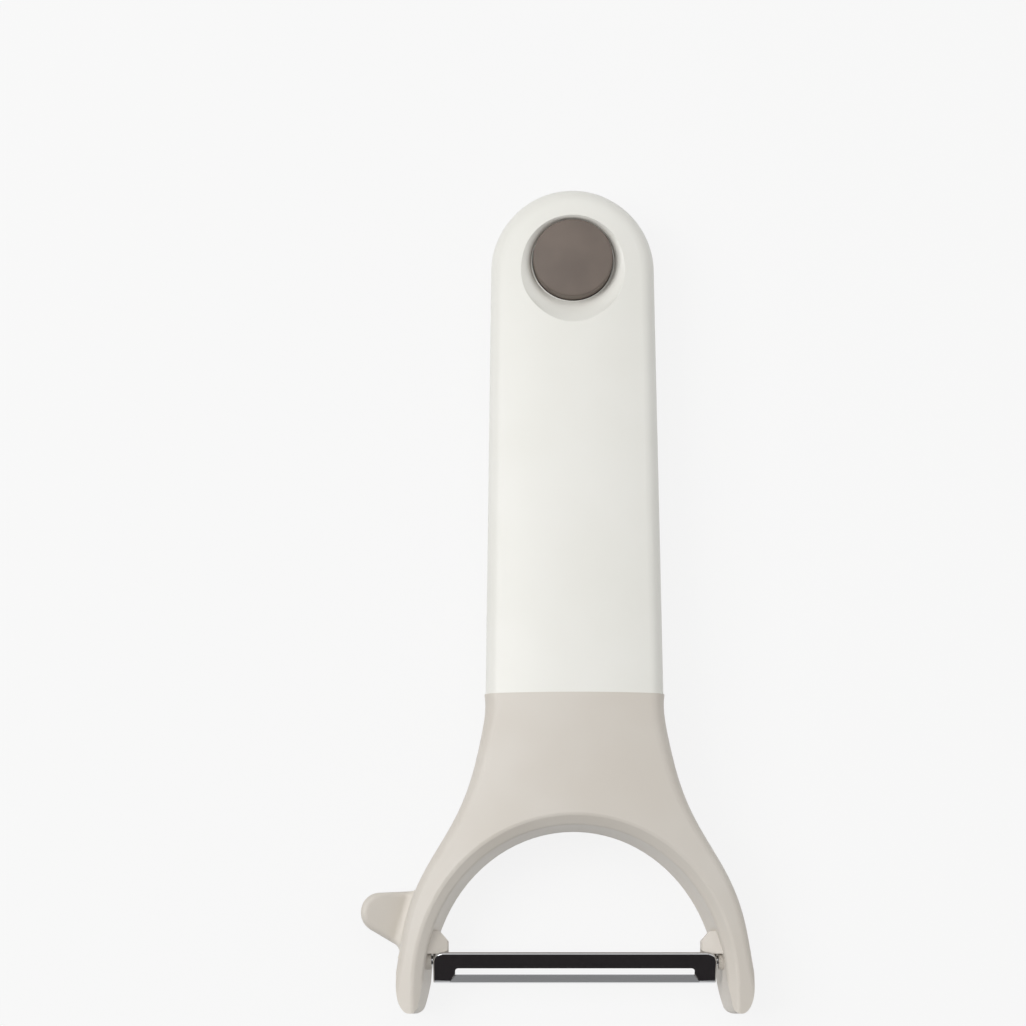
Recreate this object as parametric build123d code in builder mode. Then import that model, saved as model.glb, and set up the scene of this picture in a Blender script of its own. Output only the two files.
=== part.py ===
import os
from math import acos, atan, atan2, cos, hypot, radians, sin, sqrt

from build123d import *

# A Y-shaped vegetable peeler, lying on its flat back.
# +Z is the front that faces the viewer, +Y runs to the handle's round end and +X is the right arm's side.
# The origin is on the flat back, under the middle line of the white handle. All lengths are in millimetres.

# White handle
handle_length = 91.35
origin_above_joint = 46.4
handle_end_radius = 14.6
neck_width = 30.9
handle_end_depth = 15.2
neck_depth = 18.6
crown_radius = 48.0
front_edge_radius = 3.2
back_edge_radius = 6.0
handle_wall = 2.2
seam_height = 7.6
seam_lip_height = 1.0
fit_clearance = 0.05

# Button at the handle's round end, and the dish around it
button_from_end = 13.3
button_radius = 7.1
button_stand = 3.2
button_crown_radius = 44.0
button_edge_radius = 0.4
button_gap = 0.2
dish_depth = 2.4
dish_floor_radius = 7.5
dish_mouth_radius = 9.3
dish_height_shares = (0, 0.3, 0.55, 0.75, 0.95, 1.3)
dish_side_shares = (0, 0.14, 0.67, 1.25, 1.5, 1.78)
dish_upper_shares = (0, 0.01, 0.05, 0.16, 0.5, 1.3)
dish_lower_shares = (0, 0.59, 1.08, 1.47, 1.87, 2.55)
button_seat_depth = 1.2
seat_floor = 1.8
stem_radius = 3.2
stem_bore_radius = 1.6
stem_gap = 0.1
stem_end_gap = 0.3
rear_button_thickness = 2.2
rear_button_recess = 0.4

# Tang of the head inside the handle
spigot_length = 8.0
tang_width = 12.0
tang_web = 2.0
tang_rib = 2.0
tang_pocket_count = 5

# Ribs and locating pegs inside the two handle shells
rib_thickness = 1.6
rib_count = 3
peg_x = 9.6
peg_radius = 1.1
peg_boss_radius = 2.1
peg_length = 3.0
peg_offset = 7.0

# Head: a collar that flares into two arms
arm_reach = 54.6
arm_half_width = 30.85
collar_step = 0.2
flare_share = 0.52
arm_front_depth = 15.8
front_fall_power = 1.4
arm_crown_radius = 96.0
arm_front_edge_radius = 1.4
arm_back_edge_radius = 2.6
section_shares = (0, 0.14, 0.28, 0.42, 0.56, 0.7, 0.85, 1.05)
tip_outer_width = 2.3
tip_outer_height = 4.6
tip_inner_width = 1.0
tip_inner_height = 5.4
tip_inner_radius = 1.4
tip_end_radius = 5.0

# Arch between the arms: half an ellipse over straight sides, wider at the front than at the back
arch_centre_above_tip = 4.4
arm_back_wall = 5.75
arch_back_height = 27.3
arm_front_wall = 4.5
arch_front_height = 27.5
arch_front_level = 12.0
bevel_width = 1.7
bevel_edge_radius = 0.8

# Potato-eye scoop on the left arm; heights along the arm are counted up from the arms' tips
scoop_reach = 6.2
scoop_top = 21.1
scoop_tip_top = 20.5
scoop_tip_bottom = 15.3
scoop_bottom = 11.2
scoop_low = 3.6
scoop_valley = 6.4
scoop_shoulder = 10.6
scoop_high = 11.2
scoop_corner_radius = 3.3
scoop_rim_radius = 0.9
scoop_valley_radius = 1.4
scoop_root_radius = 1.8
scoop_root_depth = 1.2

# Blade: a flat strip with a bent lower edge, a slot, a raised cutting lip and an ear at each end
pivot_above_tip = 9.1
pivot_height = 7.2
blade_tilt = 43.0
blade_end_gap = 0.6
blade_upper = 3.3
blade_lower = 2.68
blade_crown = 2.1
blade_thickness = 0.5
blade_bend_radius = 1.65
blade_bend_angle = 50.0
blade_corner_radius = 1.9
blade_foot_radius = 0.5
blade_rim_radius = 0.25
slot_end = 3.8
slot_upper = 0.05
slot_lower = 2.45
slot_corner_radius = 0.6
lip_tip_across = 1.12
lip_rise = 0.4
lip_root_across = 3.1
lip_root_rise = 0.12
lip_tip_inset = 0.1
lip_root_run = 0.9
lip_end_width = 0.2
lip_thickness = 0.5
lip_grind_share = 0.45
lip_edge_share = 0.25
ear_radius = 1.7

# Pivot pins, and the stops that limit the blade's swing
pin_radius = 0.8
pin_running_gap = 0.06
pin_head_radius = 1.3
pin_head_thickness = 0.6
pin_side_gap = 0.1
pin_grip = 3.5
pivot_boss_radius = 1.6
pivot_boss_gap = 0.35
stop_reach = 2.6
stop_above_pivot = 1.1
stop_gap = 0.35
stop_length = 3.9
stop_slope = 1.7
stop_shoulder = 1.5
stop_below_pivot = 2.8
stop_face_above_pivot = 1.2
stop_front_rise = 2.6
stop_edge_radius = 0.5

# Walls within this share of upright count as upright, and faces within the other one of level as level
wall_lean_share = 0.3
front_lean_share = 0.08

# One overrun for cuts that pass right through
overrun = 5.0

# Places worked out from the sizes above
junction_y = -origin_above_joint
handle_end_y = handle_length - origin_above_joint
end_centre_y = handle_end_y - handle_end_radius
tip_y = junction_y - arm_reach
arch_y = tip_y + arch_centre_above_tip
pivot_y = tip_y + pivot_above_tip
front_slope = (neck_depth - handle_end_depth) / (end_centre_y - junction_y)
button_y = handle_end_y - button_from_end
well_radius = button_radius + button_gap
arch_back_half_width = arm_half_width - arm_back_wall
arch_front_half_width = arm_half_width - arm_front_wall
tip_x = arm_half_width - tip_outer_width
tip_start_y = tip_y + tip_outer_height
scoop_tip_x = arm_half_width + scoop_reach
scoop_start_y = tip_y + scoop_top + scoop_root_radius
scoop_end_y = tip_y + scoop_bottom - scoop_root_radius
blade_length = 2 * (arch_back_half_width - blade_end_gap)
slot_length = blade_length - 2 * slot_end
stop_x = blade_length / 2 - stop_reach
stop_y = pivot_y + stop_above_pivot
stop_root_x = arch_front_half_width + bevel_width
pin_end_x = arch_back_half_width + pin_grip
pivot_boss_x = blade_length / 2 + pivot_boss_gap
pin_head_x = blade_length / 2 - blade_thickness - pin_side_gap - pin_head_thickness


def front_height(y):
    # Height of the handle's front along its middle line
    return handle_end_depth + front_slope * (end_centre_y - y)


def crown_drop(radius, half_width):
    return radius - sqrt(radius**2 - half_width**2)


def crowned_section(y, half_width, top, crown, front_radius=0, back_radius=0):
    # A section across the object: flat back, upright sides and a front that is one wide arc
    shoulder = top - crown_drop(crown, half_width)
    with BuildSketch(Plane.XZ.offset(-y)) as section:
        with BuildLine():
            Polyline((-half_width, shoulder), (-half_width, 0), (half_width, 0), (half_width, shoulder))
            ThreePointArc((half_width, shoulder), (0, top), (-half_width, shoulder))
        make_face()
        if front_radius:
            fillet(section.vertices().group_by(Axis.Y)[-1], front_radius)
            fillet(section.vertices().group_by(Axis.Y)[0], back_radius)
    return section.sketch


def handle_form(inset):
    # The handle's outer form, drawn in by one distance on every side but the joint
    radius = handle_end_radius - inset
    neck = neck_width / 2 - inset
    reach = hypot(neck, end_centre_y - junction_y)
    turn = atan2(junction_y - end_centre_y, neck) + acos(radius / reach)
    touch = (radius * cos(turn), end_centre_y + radius * sin(turn))
    half_width = (neck_width + overrun) / 2
    with BuildPart() as form:
        with BuildSketch(Plane.XY.offset(inset)):
            with BuildLine():
                Line((-neck, junction_y), (neck, junction_y))
                Line((neck, junction_y), touch)
                ThreePointArc(touch, (0, end_centre_y + radius), (-touch[0], touch[1]))
                Line((-touch[0], touch[1]), (-neck, junction_y))
            make_face()
        extrude(amount=neck_depth)
        for y in (junction_y, handle_end_y):
            add(crowned_section(y, half_width, front_height(y) - inset, crown_radius - inset))
        loft(ruled=True, mode=Mode.INTERSECT)
        front = form.faces().sort_by(Axis.Z)[-1]
        fillet(front.edges().sort_by(Axis.Y)[1:], front_edge_radius - inset)
        back = form.faces().sort_by(Axis.Z)[0]
        fillet(back.edges().sort_by(Axis.Y)[1:], back_edge_radius - inset)
    return form.part


outer_form = handle_form(0)
lip_form = handle_form(handle_wall / 2)
cavity_form = handle_form(handle_wall)

# How the dish widens as it rises: to its sides, towards the handle's end and towards the head
dish_spread = dish_mouth_radius - dish_floor_radius
dish_shares = list(zip(dish_height_shares, dish_side_shares, dish_upper_shares, dish_lower_shares))

# Heights of the seats that clamp the tang under the two buttons
dish_floor = front_height(button_y) - dish_depth
front_seat = dish_floor - button_seat_depth
tang_high = front_seat - seat_floor
rear_seat = rear_button_recess + rear_button_thickness
tang_low = rear_seat + seat_floor
button_top = dish_floor + button_stand
button_rim = button_top - crown_drop(button_crown_radius, button_radius)
button_axis = Axis((0, button_y, 0), (0, 0, 1))

# The stretch of the handle between the spigot and the button's well, shared out among ribs and pockets
stretch_start = junction_y + spigot_length
stretch = button_y - well_radius - handle_wall - stretch_start
rib_places = [stretch_start + stretch * (index + 1) / (rib_count + 1) for index in range(rib_count)]
peg_places = [(side * peg_x, y - peg_offset) for side in (-1, 1) for y in rib_places]
pocket_pitch = stretch / tang_pocket_count
first_pocket_y = stretch_start + pocket_pitch / 2
pocket_places = [(0, first_pocket_y + pocket_pitch * index) for index in range(tang_pocket_count)]

# Fittings inside both shells: cross ribs that saddle the tang, peg bosses and the button well
with BuildPart() as shell_fittings:
    with BuildSketch(Plane.XY):
        with Locations(*[(0, y) for y in rib_places]):
            Rectangle(neck_width, rib_thickness)
        with Locations(*peg_places):
            Circle(peg_boss_radius)
        with Locations((0, button_y)):
            Circle(well_radius + handle_wall)
    extrude(amount=neck_depth)
    add(outer_form, mode=Mode.INTERSECT)
    with BuildSketch(Plane.XY.offset(tang_low)):
        with Locations((0, (junction_y + button_y) / 2)):
            Rectangle(tang_width + 2 * fit_clearance, button_y - junction_y)
        with Locations((0, button_y)):
            Circle(well_radius + handle_wall + fit_clearance)
    extrude(amount=tang_high - tang_low, mode=Mode.SUBTRACT)

# A ring that stands up from the rear shell's seam and nests inside the front shell
with BuildPart() as seam_lip:
    add(lip_form)
    split(bisect_by=Plane.XY.offset(seam_height), keep=Keep.TOP)
    split(bisect_by=Plane.XY.offset(seam_height + seam_lip_height), keep=Keep.BOTTOM)
    add(cavity_form, mode=Mode.SUBTRACT)

# Rear shell: the flat back, the lip and six locating pegs
with BuildPart() as handle_rear_shell:
    add(outer_form)
    add(cavity_form, mode=Mode.SUBTRACT)
    add(shell_fittings.part)
    split(bisect_by=Plane.XY.offset(seam_height), keep=Keep.BOTTOM)
    add(seam_lip.part)
    with BuildSketch(Plane.XY.offset(seam_height)):
        with Locations(*peg_places):
            Circle(peg_radius)
    extrude(amount=peg_length)
    with Locations(Plane((0, button_y, 0), z_dir=(0, 0, -1))):
        CounterBoreHole(stem_radius + stem_gap, well_radius, rear_seat)

# Front shell: the crowned front with the button's dish
with BuildPart() as handle_front_shell:
    add(outer_form)
    add(cavity_form, mode=Mode.SUBTRACT)
    add(shell_fittings.part)
    split(bisect_by=Plane.XY.offset(seam_height), keep=Keep.TOP)
    add(seam_lip.part, mode=Mode.SUBTRACT)
    with BuildSketch(Plane.XY.offset(seam_height)):
        with Locations(*peg_places):
            Circle(peg_radius)
    extrude(amount=peg_length + fit_clearance, mode=Mode.SUBTRACT)
    with Locations(Plane((0, button_y, front_seat + overrun))):
        CounterBoreHole(stem_radius + stem_gap, well_radius, overrun)
    for height_share, side_share, upper_share, lower_share in dish_shares:
        upper = dish_spread * upper_share
        lower = dish_spread * lower_share
        with BuildSketch(Plane.XY.offset(dish_floor + dish_depth * height_share)):
            with Locations((0, button_y + (upper - lower) / 2)):
                Ellipse(dish_floor_radius + dish_spread * side_share, dish_floor_radius + (upper + lower) / 2)
    loft(mode=Mode.SUBTRACT)

# Front button: a low domed disc with a hollow stem
with BuildPart() as front_button:
    with BuildSketch(Plane.XZ.offset(-button_y)) as button_profile:
        with BuildLine():
            Polyline((0, button_top), (0, front_seat), (button_radius, front_seat),
                     (button_radius, button_rim))
            RadiusArc((button_radius, button_rim), (0, button_top), -button_crown_radius)
        make_face()
        fillet(button_profile.vertices().sort_by_distance((button_radius, button_rim))[0], button_edge_radius)
    revolve(axis=button_axis)
    with BuildSketch(Plane.XY.offset(tang_low)):
        with Locations((0, button_y)):
            Circle(stem_radius)
    extrude(amount=front_seat - tang_low)
    with BuildSketch(Plane.XY.offset(tang_low)):
        with Locations((0, button_y)):
            Circle(stem_bore_radius)
    extrude(amount=front_seat - tang_low, mode=Mode.SUBTRACT)

# Rear button: a flush disc whose stem is pressed into the front one
with BuildPart() as rear_button:
    with BuildSketch(Plane.XY.offset(rear_button_recess)):
        with Locations((0, button_y)):
            Circle(button_radius)
    extrude(amount=rear_button_thickness)
    fillet(rear_button.edges().sort_by(Axis.Z)[0], button_edge_radius)
    with BuildSketch(Plane.XY.offset(rear_seat)):
        with Locations((0, button_y)):
            Circle(stem_radius)
    extrude(amount=seat_floor - stem_end_gap)
    with BuildSketch(Plane.XY.offset(rear_seat)):
        with Locations((0, button_y)):
            Circle(stem_bore_radius)
    extrude(amount=front_seat - rear_seat - stem_end_gap)


def flare_half_width(y):
    # Half the head's width: one arc outwards, one arc back, meeting with a common tangent
    start = neck_width / 2 + collar_step
    rise = arm_half_width - start
    run = junction_y - arch_y
    turn = 2 * atan(rise / run)
    outward = flare_share * run / sin(turn)
    inward = (1 - flare_share) * run / sin(turn)
    if y <= arch_y:
        return arm_half_width
    if y > junction_y - flare_share * run:
        return start + crown_drop(outward, junction_y - y)
    return arm_half_width - crown_drop(inward, y - arch_y)


def head_section(share):
    # A section of the head: the crown flattens and the edges sharpen towards the arms' tips
    y = junction_y - share * arm_reach
    top = neck_depth - (neck_depth - arm_front_depth) * share**front_fall_power
    crown = crown_radius + (arm_crown_radius - crown_radius) * share
    front_radius = front_edge_radius + (arm_front_edge_radius - front_edge_radius) * share
    back_radius = back_edge_radius + (arm_back_edge_radius - back_edge_radius) * share
    return crowned_section(y, flare_half_width(y), top, crown, front_radius, back_radius)


def arch_size(level):
    # Half width and height of the opening between the arms, which widens steadily towards the front
    share = level / arch_front_level
    half_width = arch_back_half_width + share * (arch_front_half_width - arch_back_half_width)
    height = arch_back_height + share * (arch_front_height - arch_back_height)
    return half_width, height


def arch_outline(level):
    # Half an ellipse that runs down into two straight sides
    half_width, height = arch_size(level)
    foot = tip_y - overrun
    with BuildSketch(Plane.XY.offset(level)) as outline:
        with BuildLine():
            EllipticalCenterArc((0, arch_y), half_width, height, 0, arc_size=180)
            Polyline((-half_width, arch_y), (-half_width, foot), (half_width, foot), (half_width, arch_y))
        make_face()
    return outline.sketch


def tip_outline(level):
    # What is cut away between and below the arms' tips: each inner side slants out to a round corner
    half_width, height = arch_size(level)
    corner_x = half_width + tip_inner_width
    start = tip_y + tip_inner_height
    foot = tip_y - overrun
    far = arm_half_width + overrun
    with BuildSketch(Plane.XY.offset(level)) as outline:
        with BuildLine():
            Polyline((half_width, start), (-half_width, start), (-corner_x, tip_y), (-far, tip_y),
                     (-far, foot), (far, foot), (far, tip_y), (corner_x, tip_y), (half_width, start))
        make_face()
        for side in (-1, 1):
            fillet(outline.vertices().sort_by_distance((side * corner_x, tip_y))[0], tip_inner_radius)
    return outline.sketch


def is_bevel(face):
    # The arch's bevel leans halfway between its walls and the front
    return wall_lean_share < face.normal_at().Z < 1 - front_lean_share


def stop_block(side):
    # A faceted stop inside one arm: its front slopes in, and it is hollowed over the blade's ear
    near = stop_y + stop_length - stop_slope
    far = stop_y + stop_length
    low = pivot_height - stop_below_pivot
    high = pivot_height + stop_face_above_pivot
    with BuildPart() as block:
        with BuildSketch(Plane.XZ.offset(-stop_y)):
            with BuildLine():
                Polyline((side * stop_root_x, low), (side * stop_x, low), (side * stop_x, high),
                         (side * stop_root_x, high + stop_front_rise), (side * stop_root_x, low))
            make_face()
        extrude(amount=-stop_length)
        with BuildSketch(Plane.XY):
            with BuildLine():
                Polyline((side * stop_root_x, stop_y), (side * stop_x, stop_y), (side * stop_x, near),
                         (side * (stop_x + stop_shoulder), far), (side * stop_root_x, far),
                         (side * stop_root_x, stop_y))
            make_face()
        extrude(amount=neck_depth, mode=Mode.INTERSECT)
        face = block.faces().sort_by(lambda face: abs(face.center().X))[0]
        fillet(face.edges(), stop_edge_radius)
        with BuildSketch(Plane.YZ.offset(side * stop_root_x)):
            with Locations((pivot_y, pivot_height)):
                Circle(ear_radius + stop_gap)
        extrude(amount=-side * stop_root_x, mode=Mode.SUBTRACT)
    return block.part


# Spigot: the head's plug in the handle's open end
with BuildPart() as spigot:
    add(cavity_form)
    split(bisect_by=Plane.XZ.offset(-junction_y - spigot_length), keep=Keep.TOP)

# The line along the left arm's side that the scoop grows from
root_foot = Vector(-flare_half_width(scoop_end_y), scoop_end_y)
root_line = Vector(-flare_half_width(scoop_start_y), scoop_start_y) - root_foot
root_out = Vector(-root_line.Y, root_line.X).normalized()
root_in = root_out * -scoop_root_depth
scoop_out = scoop_tip_x + root_foot.X + root_line.Y * root_out.Y


def on_root_line(above_tip):
    return root_foot + root_line * ((tip_y + above_tip - root_foot.Y) / root_line.Y)


# Potato-eye scoop: a short blunt spoon whose front sinks from the arm, then rises to its tip
with BuildPart() as eye_scoop:
    with BuildSketch(Plane(root_foot, x_dir=root_out, z_dir=root_line)) as scoop_profile:
        with BuildLine():
            Polyline((-scoop_root_depth, scoop_low), (-scoop_root_depth, scoop_shoulder), (0, scoop_shoulder),
                     (0, scoop_valley), (scoop_out, scoop_high), (scoop_out, scoop_low),
                     (-scoop_root_depth, scoop_low))
        make_face()
        fillet(scoop_profile.vertices().sort_by_distance((0, scoop_valley))[0], scoop_valley_radius)
    extrude(amount=root_line.length)
    with BuildSketch(Plane.XY) as scoop_outline:
        with BuildLine():
            Polyline(root_foot + root_in, root_foot, on_root_line(scoop_bottom),
                     (-scoop_tip_x, tip_y + scoop_tip_bottom), (-scoop_tip_x, tip_y + scoop_tip_top),
                     on_root_line(scoop_top), root_foot + root_line, root_foot + root_line + root_in,
                     root_foot + root_in)
        make_face()
        for root in (on_root_line(scoop_bottom), on_root_line(scoop_top)):
            fillet(scoop_outline.vertices().sort_by_distance(root)[0], scoop_root_radius)
        fillet(scoop_outline.vertices().group_by(Axis.X)[0], scoop_corner_radius)
    extrude(amount=neck_depth, mode=Mode.INTERSECT)
    rim = eye_scoop.edges().filter_by(lambda edge: edge.center().X < -arm_half_width)
    fillet(rim.filter_by(Axis.Z, reverse=True), scoop_rim_radius)

# Head: one moulding with the collar, the arms, the scoop, the stops and the tang
with BuildPart() as head_yoke:
    for share in section_shares:
        add(head_section(share))
    loft()
    for level in (-overrun, neck_depth + overrun):
        add(arch_outline(level))
    loft(ruled=True, mode=Mode.SUBTRACT)
    walls = head_yoke.faces(Select.LAST).filter_by(lambda face: abs(face.normal_at().Z) < wall_lean_share)
    walls = walls.filter_by(lambda face: face.center().Y > tip_y)
    chamfer([wall.edges().sort_by(Axis.Z)[-1] for wall in walls], bevel_width)
    bevels = head_yoke.faces(Select.LAST).filter_by(is_bevel)
    long_edges = [edge for bevel in bevels for edge in bevel.edges().sort_by(SortBy.LENGTH)[-2:]]
    fillet(long_edges, bevel_edge_radius)
    for level in (-overrun, neck_depth + overrun):
        add(tip_outline(level))
    loft(ruled=True, mode=Mode.SUBTRACT)
    with BuildSketch(Plane.XY):
        with BuildLine():
            Polyline((arm_half_width, tip_start_y), (arm_half_width, junction_y),
                     (-arm_half_width, junction_y), (-arm_half_width, tip_start_y))
            EllipticalCenterArc((-tip_x, tip_start_y), tip_outer_width, tip_outer_height, 180, arc_size=90)
            Line((-tip_x, tip_y), (tip_x, tip_y))
            EllipticalCenterArc((tip_x, tip_start_y), tip_outer_width, tip_outer_height, 270, arc_size=90)
        make_face()
    extrude(amount=neck_depth, mode=Mode.INTERSECT)
    with BuildSketch(Plane.YZ) as side_outline:
        with Locations((tip_y, 0)):
            Rectangle(arm_reach, neck_depth, align=(Align.MIN, Align.MIN))
        fillet(side_outline.vertices().group_by(Axis.X)[0], tip_end_radius)
    extrude(amount=arm_half_width, both=True, mode=Mode.INTERSECT)
    add(eye_scoop.part)
    for side in (-1, 1):
        add(stop_block(side))
        with BuildSketch(Plane.YZ.offset(side * pivot_boss_x)):
            with Locations((pivot_y, pivot_height)):
                Circle(pivot_boss_radius)
        extrude(amount=side * (pin_end_x - pivot_boss_x))
        with BuildSketch(Plane.YZ.offset(side * blade_length / 2)):
            with Locations((pivot_y, pivot_height)):
                Circle(pin_radius)
        extrude(amount=side * (pin_end_x - blade_length / 2), mode=Mode.SUBTRACT)
    add(spigot.part)
    with BuildSketch(Plane.XY.offset(tang_low)):
        with Locations((0, (junction_y + button_y) / 2)):
            Rectangle(tang_width, button_y - junction_y)
        with Locations((0, button_y)):
            Circle(well_radius + handle_wall)
    extrude(amount=tang_high - tang_low)
    for face_height, into in ((tang_low, 1), (tang_high, -1)):
        with BuildSketch(Plane.XY.offset(face_height)):
            with Locations(*pocket_places):
                Rectangle(tang_width - 2 * tang_rib, pocket_pitch - tang_rib)
        extrude(amount=into * (tang_high - tang_low - tang_web) / 2, mode=Mode.SUBTRACT)
    with BuildSketch(Plane.XY.offset(tang_low)):
        with Locations((0, button_y)):
            Circle(stem_radius + stem_gap)
    extrude(amount=tang_high - tang_low, mode=Mode.SUBTRACT)


# Pivot pins: a headed pin at each end of the blade, pressed into a blind bore in the arm
pins = {}
for side_name, side in (("left", -1), ("right", 1)):
    with BuildPart() as pin:
        with BuildSketch(Plane.YZ.offset(side * pin_head_x)):
            with Locations((pivot_y, pivot_height)):
                Circle(pin_head_radius)
        extrude(amount=side * pin_head_thickness)
        with BuildSketch(Plane.YZ.offset(side * pin_head_x)):
            with Locations((pivot_y, pivot_height)):
                Circle(pin_radius)
        extrude(amount=side * (pin_end_x - pin_head_x))
    pins[side_name] = pin.part

# The blade's own frame: across the strip, outwards from the pivot, and along the blade
tilt = radians(blade_tilt)
across = Vector(0, cos(tilt), sin(tilt))
outward = Vector(0, -sin(tilt), cos(tilt))
pivot = Vector(0, pivot_y, pivot_height)
end_view = Plane(pivot, x_dir=across, z_dir=Vector(1, 0, 0))
face_view = Plane(pivot, x_dir=Vector(1, 0, 0), z_dir=outward)


def strip_out(below):
    # How far the strip's outer face stands out from the pivot, at one distance below it
    return blade_crown - crown_drop(blade_bend_radius, max(below - blade_lower, 0))


def lip_section(x, tip, root):
    # The raised lip's section at one place along the blade: a flat bar ground to an edge at its tip
    slant = (tip - root).normalized()
    depth = Vector(slant.Y, -slant.X) * lip_thickness
    grind = (tip - root) * lip_grind_share
    with BuildSketch(end_view.offset(x)) as section:
        with BuildLine():
            Polyline(tip, root, root + depth, tip + depth - grind, tip + depth * lip_edge_share, tip)
        make_face()
    return section.sketch


# Blade: the strip with its bent edge and its slot, then the lip, then an ear at each end
lip_tip = Vector(-lip_tip_across, blade_crown + lip_rise)
lip_root = Vector(-lip_root_across, strip_out(lip_root_across) + lip_root_rise)
lip_end_tip = lip_root + (lip_tip - lip_root).normalized() * lip_end_width
lip_end = slot_length / 2 + lip_root_run
lip_full = slot_length / 2 - lip_tip_inset

with BuildPart() as blade_lip:
    add(lip_section(-lip_end, lip_end_tip, lip_root))
    add(lip_section(-lip_full, lip_tip, lip_root))
    add(lip_section(lip_full, lip_tip, lip_root))
    add(lip_section(lip_end, lip_end_tip, lip_root))
    loft(ruled=True)

with BuildPart() as blade:
    with BuildSketch(end_view):
        with BuildLine() as strip:
            Line((blade_upper, blade_crown), (-blade_lower, blade_crown))
            JernArc((-blade_lower, blade_crown), (-1, 0), blade_bend_radius, blade_bend_angle)
            offset(strip.line, blade_thickness, side=Side.LEFT)
        make_face()
    extrude(amount=blade_length / 2, both=True)
    corners = blade.edges().filter_by(GeomType.LINE).group_by(SortBy.LENGTH)[0].sort_by(Axis.Z)
    fillet(corners[2:], blade_corner_radius)
    corners = blade.edges().filter_by(GeomType.LINE).group_by(SortBy.LENGTH)[0].sort_by(Axis.Z)
    fillet(corners[:2], blade_foot_radius)
    outer_face = blade.faces().sort_by(Axis(pivot, outward))[-1]
    fillet(outer_face.edges().sort_by(Axis.Z)[1:], blade_rim_radius)
    with BuildSketch(face_view) as slot:
        with Locations((0, -slot_lower)):
            Rectangle(slot_length, slot_upper + slot_lower, align=(Align.CENTER, Align.MIN))
        fillet(slot.vertices().group_by(Axis.Y)[-1], slot_corner_radius)
    extrude(amount=blade_upper + blade_lower, mode=Mode.SUBTRACT)
    add(blade_lip.part)
    for side in (-1, 1):
        with BuildSketch(end_view.offset(side * blade_length / 2)):
            Circle(ear_radius)
            Rectangle(2 * ear_radius, blade_crown - blade_thickness / 2, align=(Align.CENTER, Align.MIN))
            Circle(pin_radius + pin_running_gap, mode=Mode.SUBTRACT)
        extrude(amount=-side * blade_thickness)

handle_front_shell.part.label = "handle_front_shell"
handle_rear_shell.part.label = "handle_rear_shell"
head_yoke.part.label = "head_yoke"
front_button.part.label = "front_button"
rear_button.part.label = "rear_button"
blade.part.label = "blade"
pins["left"].label = "left_pivot_pin"
pins["right"].label = "right_pivot_pin"

os.makedirs("parts", exist_ok=True)
export_step(handle_front_shell.part, "parts/handle_front_shell.step")
export_step(handle_rear_shell.part, "parts/handle_rear_shell.step")
export_step(head_yoke.part, "parts/head_yoke.step")
export_step(front_button.part, "parts/front_button.step")
export_step(rear_button.part, "parts/rear_button.step")
export_step(blade.part, "parts/blade.step")
export_step(pins["left"], "parts/left_pivot_pin.step")
export_step(pins["right"], "parts/right_pivot_pin.step")
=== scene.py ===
import math

import bmesh
import bpy
from mathutils import Matrix, Vector


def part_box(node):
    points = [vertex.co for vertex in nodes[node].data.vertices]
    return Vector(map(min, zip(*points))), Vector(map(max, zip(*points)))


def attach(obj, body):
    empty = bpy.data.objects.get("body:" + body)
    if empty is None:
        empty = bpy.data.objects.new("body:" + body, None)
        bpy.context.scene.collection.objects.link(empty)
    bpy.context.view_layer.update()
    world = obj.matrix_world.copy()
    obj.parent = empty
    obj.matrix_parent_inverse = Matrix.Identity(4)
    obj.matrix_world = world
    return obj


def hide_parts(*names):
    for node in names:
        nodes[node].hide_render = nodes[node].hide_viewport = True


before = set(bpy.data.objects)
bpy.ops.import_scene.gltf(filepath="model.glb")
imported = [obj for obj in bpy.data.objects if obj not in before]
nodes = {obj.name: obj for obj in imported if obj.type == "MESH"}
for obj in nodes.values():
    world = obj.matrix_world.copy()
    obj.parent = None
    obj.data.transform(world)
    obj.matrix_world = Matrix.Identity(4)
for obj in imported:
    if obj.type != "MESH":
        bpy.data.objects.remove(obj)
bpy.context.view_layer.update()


def linear(red, green, blue):
    # a screen colour, 0 to 255, as Blender's linear values
    def channel(value):
        value /= 255
        return value / 12.92 if value <= 0.04045 else ((value + 0.055) / 1.055) ** 2.4
    return (channel(red), channel(green), channel(blue), 1)


class Wire:
    # one node output that can stand in a Python sum
    def __init__(self, graph, socket):
        self.graph, self.socket = graph, socket

    def sum(self, operation, first, second=0):
        return self.graph.node("ShaderNodeMath", {"operation": operation}, {0: first, 1: second})

    def __add__(self, other): return self.sum("ADD", self, other)
    def __radd__(self, other): return self.sum("ADD", other, self)
    def __sub__(self, other): return self.sum("SUBTRACT", self, other)
    def __rsub__(self, other): return self.sum("SUBTRACT", other, self)
    def __mul__(self, other): return self.sum("MULTIPLY", self, other)
    def __rmul__(self, other): return self.sum("MULTIPLY", other, self)
    def __truediv__(self, other): return self.sum("DIVIDE", self, other)
    def __rtruediv__(self, other): return self.sum("DIVIDE", other, self)


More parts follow.
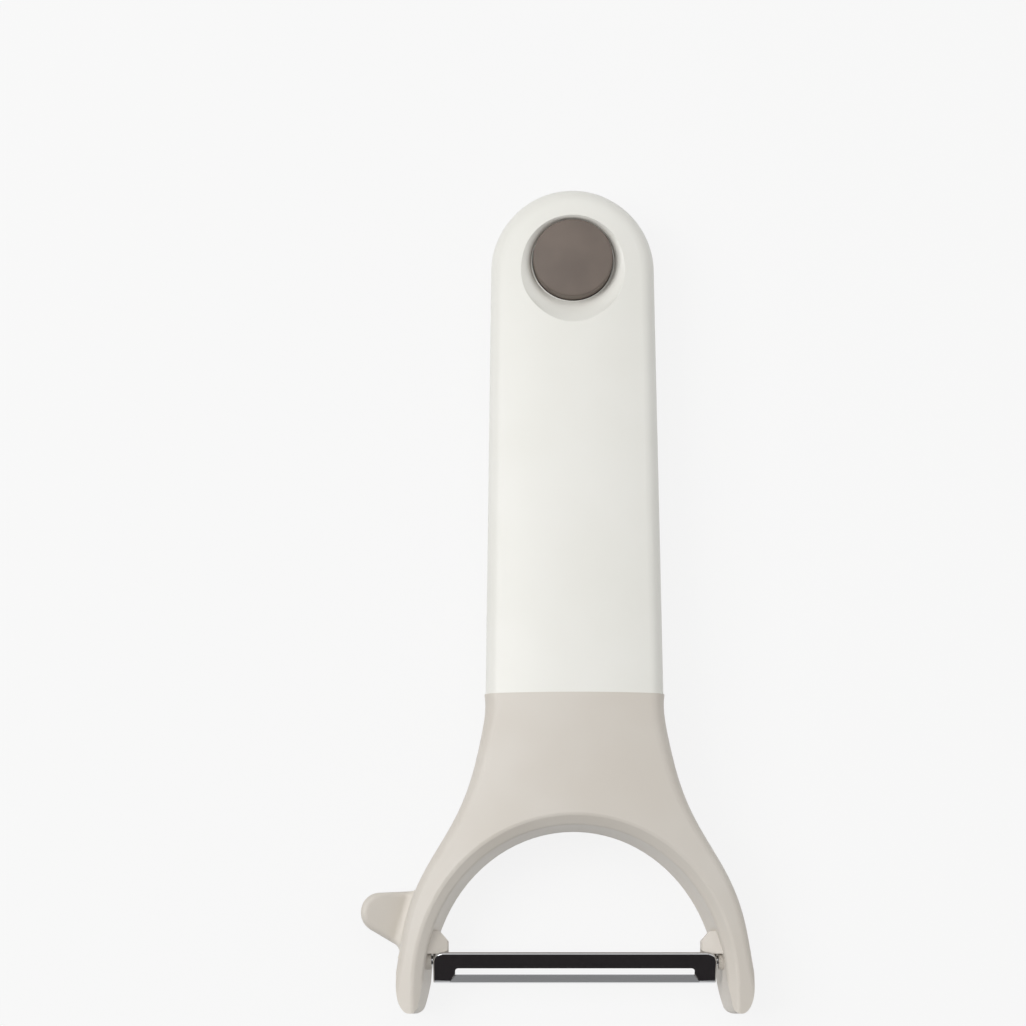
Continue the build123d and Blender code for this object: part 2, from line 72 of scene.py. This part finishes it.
class Graph:
    def __init__(self, tree):
        self.tree = tree
        tree.nodes.clear()

    def node(self, kind, settings=None, inputs=None, output=0):
        made = self.tree.nodes.new(kind)
        for key, value in (settings or {}).items():
            if key == "stops":
                ramp = made.color_ramp.elements
                while len(ramp) < len(value):
                    ramp.new(1)
                for stop, (position, colour) in zip(ramp, value):
                    stop.position, stop.color = position, colour
            elif key == "choices":
                while len(made.index_switch_items) < value:
                    made.index_switch_items.new()
            else:
                setattr(made, key, value)
        for key, value in (inputs or {}).items():
            socket = made.inputs[key]
            if isinstance(value, Wire):
                self.tree.links.new(value.socket, socket)
            else:
                socket.default_value = value
        return Wire(self, made.outputs[output]) if made.outputs else made

    def mix(self, share, first, second):
        return self.node("ShaderNodeMix", {"data_type": "RGBA"}, {0: share, 6: first, 7: second}, 2)

    def place(self):
        return self.node("ShaderNodeTexCoord", output="Object")

    def noise(self, where, scale, detail):
        return self.node("ShaderNodeTexNoise", {}, {"Vector": where, "Scale": scale, "Detail": detail})

    def stretch(self, source, low, high):
        return self.node("ShaderNodeMapRange", {"interpolation_type": "SMOOTHSTEP"},
                         {0: source, 1: low, 2: high})


def newMaterial(name):
    made = bpy.data.materials.new(name)
    made.use_nodes = True
    return made, Graph(made.node_tree)


def finishSurface(graph, **inputs):
    named = {key.replace("_", " "): value for key, value in inputs.items()}
    shader = graph.node("ShaderNodeBsdfPrincipled", {}, named)
    graph.node("ShaderNodeOutputMaterial", {}, {"Surface": shader})


# what the three plastics share: soft clouds of colour, and a fine grain in gloss and bump
moulding = {"detail": 2, "cloudLow": 0.3, "cloudHigh": 0.7, "grainRough": 0.14, "cloudRough": 0.06,
            "bump": 0.35}
whitePlastic = {"colour": (247, 246, 240), "shade": (244, 243, 236), "roughness": 0.36, "grain": 1500,
                "cloud": 45, "depth": 0.000012}
greyPlastic = {"colour": (224, 218, 209), "shade": (220, 213, 203), "roughness": 0.44, "grain": 1500,
               "cloud": 60, "depth": 0.000015}
taupePlastic = {"colour": (124, 112, 103), "shade": (113, 102, 94), "roughness": 0.6, "grain": 2600,
                "cloud": 110, "depth": 0.00003}


def mouldedPlastic(name, look):
    made, graph = newMaterial(name)
    place = graph.place()
    cloud = graph.noise(place, look["cloud"], moulding["detail"])
    grain = graph.noise(place, look["grain"], moulding["detail"])
    shaded = graph.stretch(cloud, moulding["cloudLow"], moulding["cloudHigh"])
    colour = graph.mix(shaded, linear(*look["colour"]), linear(*look["shade"]))
    uneven = (grain - 0.5) * moulding["grainRough"] + (cloud - 0.5) * moulding["cloudRough"]
    roughness = look["roughness"] + uneven
    bump = graph.node("ShaderNodeBump", {}, {"Strength": moulding["bump"], "Distance": look["depth"],
                                             "Height": grain})
    finishSurface(graph, Base_Color=colour, Roughness=roughness, Normal=bump)
    return made


# very fine lines from polishing, long on the blade and even on the pins
polishing = {"detail": 3, "bump": 0.3}
bladeLook = {"colour": (214, 215, 217), "roughness": 0.07, "streak": 0.06, "lines": (60, 2600, 2600),
             "depth": 0.000001}
pinLook = {"colour": (196, 197, 199), "roughness": 0.22, "streak": 0.1, "lines": (900, 900, 900),
           "depth": 0.000002}


def polishedSteel(name, look):
    made, graph = newMaterial(name)
    lines = graph.node("ShaderNodeMapping", {}, {"Vector": graph.place(), "Scale": look["lines"]})
    streak = graph.noise(lines, 1.0, polishing["detail"])
    rough = look["roughness"] + (streak - 0.5) * look["streak"]
    bump = graph.node("ShaderNodeBump", {}, {"Strength": polishing["bump"], "Distance": look["depth"],
                                             "Height": streak})
    finishSurface(graph, Base_Color=linear(*look["colour"]), Metallic=1.0, Roughness=rough, Normal=bump)
    return made


handleWhite = mouldedPlastic("handleWhite", whitePlastic)
headGrey = mouldedPlastic("headGrey", greyPlastic)
buttonTaupe = mouldedPlastic("buttonTaupe", taupePlastic)
bladeSteel = polishedSteel("bladeSteel", bladeLook)
pinSteel = polishedSteel("pinSteel", pinLook)
print("materials made")


def dress(node, material):
    mesh = nodes[node].data
    mesh.materials.clear()
    mesh.materials.append(material)


dress("handle_front_shell", handleWhite)
dress("handle_rear_shell", handleWhite)
dress("head_yoke", headGrey)
dress("front_button", buttonTaupe)
dress("rear_button", buttonTaupe)
dress("blade", bladeSteel)
dress("left_pivot_pin", pinSteel)
dress("right_pivot_pin", pinSteel)
print("CAD pieces dressed")

# each button is a turned shape: a disc with a rounded rim on a stem, and a bore or a core in that
turning = {"domeSteps": 10, "rimSteps": 8, "segments": 144, "sharpFrom": 35, "join": 0.000001,
           "smallest": 0.0000001}
frontButton = {"node": "front_button", "faces": 1, "thickness": 0.0044, "dome": 0.00058, "edge": 0.0004,
               "stem": 0.0032, "stemShare": 1, "core": 0.0016, "coreShare": 0}
rearButton = {"node": "rear_button", "faces": -1, "thickness": 0.0022, "dome": 0, "edge": 0.0004,
              "stem": 0.0032, "stemShare": 0.174, "core": 0.0016, "coreShare": 1}


def turnedButtonTree():
    tree = bpy.data.node_groups.new("turnedButton", "GeometryNodeTree")
    graph = Graph(tree)
    sockets, size = {}, {}
    titles = ("Radius", "Thickness", "Dome", "Edge", "Stem", "Stem Depth", "Core", "Core Depth", "Material")
    for title in titles:
        kind = "NodeSocketMaterial" if title == "Material" else "NodeSocketFloat"
        sockets[title] = tree.interface.new_socket(title, in_out="INPUT", socket_type=kind).identifier
        size[title] = graph.node("NodeGroupInput", output=title)
    tree.interface.new_socket("Geometry", in_out="OUTPUT", socket_type="NodeSocketGeometry")

    def spot(reach, height):
        return graph.node("ShaderNodeCombineXYZ", {}, {0: reach - size["Radius"], 1: 0 - height})

    # the dome's points come first, then six corners down the side, the stem and the core
    index = graph.node("GeometryNodeInputIndex")
    steps = turning["domeSteps"]
    share = index / steps
    spots = [spot(size["Radius"] * share, size["Thickness"] - size["Dome"] * share * share)] * (steps + 1)
    stemFoot, coreFoot = 0 - size["Stem Depth"], 0 - size["Core Depth"]
    spots += [spot(size["Radius"], 0), spot(size["Stem"], 0), spot(size["Stem"], stemFoot),
              spot(size["Core"], stemFoot), spot(size["Core"], coreFoot), spot(0, coreFoot)]
    where = graph.node("GeometryNodeIndexSwitch", {"data_type": "VECTOR", "choices": len(spots)},
                       {number: value for number, value in enumerate([index] + spots)})
    points = graph.node("GeometryNodePoints", {}, {"Count": len(spots), "Position": where})
    outline = graph.node("GeometryNodePointsToCurves", {}, {"Points": points})
    atRim = graph.node("ShaderNodeMath", {"operation": "COMPARE"}, {0: index, 1: steps, 2: 0.5})
    rounded = graph.node("GeometryNodeFilletCurve", {"mode": "POLY"},
                         {"Curve": outline, "Count": turning["rimSteps"], "Radius": size["Edge"] * atRim,
                          "Limit Radius": True})
    circle = graph.node("GeometryNodeCurvePrimitiveCircle", {}, {"Resolution": turning["segments"],
                                                                 "Radius": size["Radius"]})
    turned = graph.node("GeometryNodeCurveToMesh", {}, {"Curve": circle, "Profile Curve": rounded})
    joined = graph.node("GeometryNodeMergeByDistance", {}, {"Geometry": turned, "Distance": turning["join"]})
    real = graph.node("GeometryNodeRealizeInstances", {}, {"Geometry": joined})
    painted = graph.node("GeometryNodeSetMaterial", {}, {"Geometry": real, "Material": size["Material"]})
    graph.node("NodeGroupOutput", {}, {"Geometry": painted})
    return tree, sockets


def plainMesh(name, tree, sockets, values):
    # runs the tree once and keeps its result as an ordinary mesh
    holder = bpy.data.objects.new(name + "Holder", bpy.data.meshes.new(name + "Holder"))
    bpy.context.collection.objects.link(holder)
    modifier = holder.modifiers.new(name, "NODES")
    modifier.node_group = tree
    for title, value in values.items():
        modifier[sockets[title]] = value
    holder.update_tag()
    graph = bpy.context.evaluated_depsgraph_get()
    mesh = bpy.data.meshes.new_from_object(holder.evaluated_get(graph), depsgraph=graph)
    bpy.data.objects.remove(holder)
    mesh.name = name
    return mesh


def turnButton(look, tree, sockets, material):
    low, high = (Vector(corner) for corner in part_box(look["node"]))
    tail = high.z - low.z - look["thickness"]
    mesh = plainMesh(look["node"] + "_turned", tree, sockets, {
        "Radius": (high.x - low.x) / 2, "Thickness": look["thickness"], "Dome": look["dome"],
        "Edge": look["edge"], "Stem": look["stem"], "Stem Depth": tail * look["stemShare"],
        "Core": look["core"], "Core Depth": tail * look["coreShare"], "Material": material})
    seat = high.z - look["thickness"] if look["faces"] > 0 else low.z + look["thickness"]
    place = Matrix.Translation(((low.x + high.x) / 2, (low.y + high.y) / 2, seat))
    if look["faces"] < 0:
        place = place @ Matrix.Rotation(math.pi, 4, "X")
    mesh.transform(place)
    work = bmesh.new()
    work.from_mesh(mesh)
    bmesh.ops.dissolve_degenerate(work, dist=turning["smallest"], edges=work.edges)
    bmesh.ops.recalc_face_normals(work, faces=work.faces)
    work.to_mesh(mesh)
    work.free()
    mesh.shade_smooth()
    mesh.set_sharp_from_angle(angle=math.radians(turning["sharpFrom"]))
    piece = bpy.data.objects.new(look["node"] + "_turned", mesh)
    bpy.context.collection.objects.link(piece)
    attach(piece, "frame")
    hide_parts(look["node"])


buttonTree, buttonSockets = turnedButtonTree()
for buttonLook in (frontButton, rearButton):
    turnButton(buttonLook, buttonTree, buttonSockets, buttonTaupe)
print("buttons turned")

# camera, lamps, floor and sky
studio = {
    "target": (-0.0107, -0.0133, 0.008), "distance": 0.5, "elevation": 80, "lens": 98.6,
    "sensor": 36, "clipStart": 0.01,
    "floorColour": (212, 212, 211), "floorSize": 6.0, "floorDrop": 0.0001, "floorGlow": 0.85,
    "floorRough": 0.9, "lampAim": (0, -0.02, 0),
    "key": {"place": (-0.6, 0.03, 0.75), "size": 0.6, "power": 4.3},
    "top": {"place": (-0.05, 0.5, 1.1), "size": 1.1, "power": 3.05},
    "fill": {"place": (0.7, -0.1, 0.6), "size": 0.9, "power": 1.5},
    "skyStrength": 0.3,
}
# cards that only mirrors see: a black one across the blade's view, a grey one below it
blackCard = {"colour": (0.036, 0.030, 0.032, 1), "width": 0.5, "ends": ((0.1, -4), (0.1, 64))}
greyCard = {"colour": (0.36, 0.36, 0.36, 1), "width": 0.5, "ends": ((0.014, -26), (0.1, -4))}


def makeLamp(name, look):
    lamp = bpy.data.lights.new(name, "AREA")
    lamp.shape, lamp.size, lamp.energy = "SQUARE", look["size"], look["power"]
    made = bpy.data.objects.new(name, lamp)
    made.location = look["place"]
    aim = Vector(studio["lampAim"]) - made.location
    made.rotation_euler = aim.to_track_quat("-Z", "Y").to_euler()
    bpy.context.collection.objects.link(made)


def makeCamera():
    lift = math.radians(studio["elevation"])
    camera = bpy.data.objects.new("camera", bpy.data.cameras.new("camera"))
    back = Vector((0, -math.cos(lift), math.sin(lift)))
    camera.location = Vector(studio["target"]) + back * studio["distance"]
    camera.rotation_euler = (math.radians(90 - studio["elevation"]), 0, 0)
    camera.data.lens, camera.data.sensor_width = studio["lens"], studio["sensor"]
    camera.data.clip_start = studio["clipStart"]
    bpy.context.collection.objects.link(camera)
    bpy.context.scene.camera = camera


def makeFloor():
    half = studio["floorSize"] / 2
    mesh = bpy.data.meshes.new("floor")
    corners = ((-half, -half), (half, -half), (half, half), (-half, half))
    mesh.from_pydata([(x, y, -studio["floorDrop"]) for x, y in corners], [], [(0, 1, 2, 3)])
    floor = bpy.data.objects.new("floor", mesh)
    made, graph = newMaterial("floorPaper")
    paper = graph.node("ShaderNodeBsdfPrincipled", {}, {"Base Color": linear(*studio["floorColour"]),
                                                        "Roughness": studio["floorRough"]})
    # part of the paper's white glows for the camera and in reflections, the rest keeps the shadow
    glow = graph.node("ShaderNodeEmission", {}, {"Color": (1, 1, 1, 1), "Strength": 1})
    camera = graph.node("ShaderNodeLightPath", output="Is Camera Ray")
    glossy = graph.node("ShaderNodeLightPath", output="Is Glossy Ray")
    share = (camera + glossy) * studio["floorGlow"]
    shader = graph.node("ShaderNodeMixShader", {}, {0: share, 1: paper, 2: glow})
    graph.node("ShaderNodeOutputMaterial", {}, {"Surface": shader})
    mesh.materials.append(made)
    bpy.context.collection.objects.link(floor)


def makeSky():
    world = bpy.data.worlds.new("studioSky")
    world.use_nodes = True
    bpy.context.scene.world = world
    graph = Graph(world.node_tree)
    seen = graph.node("ShaderNodeLightPath", output="Is Camera Ray")
    strength = studio["skyStrength"] + seen * (1 - studio["skyStrength"])
    sky = graph.node("ShaderNodeBackground", {}, {"Color": (1, 1, 1, 1), "Strength": strength})
    graph.node("ShaderNodeOutputWorld", {}, {"Surface": sky})


def makeCard(name, look):
    # each end is a distance in front of the blade and an angle up from it
    low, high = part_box("blade")
    middle = (Vector(low) + Vector(high)) / 2
    corners = []
    for away, angle in look["ends"]:
        rise = away * math.tan(math.radians(angle))
        corners += [(x, middle.y - away, middle.z + rise) for x in (-look["width"] / 2, look["width"] / 2)]
    mesh = bpy.data.meshes.new(name)
    mesh.from_pydata(corners, [], [(0, 1, 3, 2)])
    card = bpy.data.objects.new(name, mesh)
    made, graph = newMaterial(name + "Paper")
    finishSurface(graph, Base_Color=look["colour"], Roughness=1.0)
    mesh.materials.append(made)
    bpy.context.collection.objects.link(card)
    card.visible_camera = card.visible_diffuse = card.visible_shadow = card.visible_transmission = False


makeCamera()
makeFloor()
makeSky()
makeCard("blackCard", blackCard)
makeCard("greyCard", greyCard)
for lampName in ("key", "top", "fill"):
    makeLamp(lampName, studio[lampName])
bpy.context.scene.view_settings.view_transform = "Standard"
print("studio made")
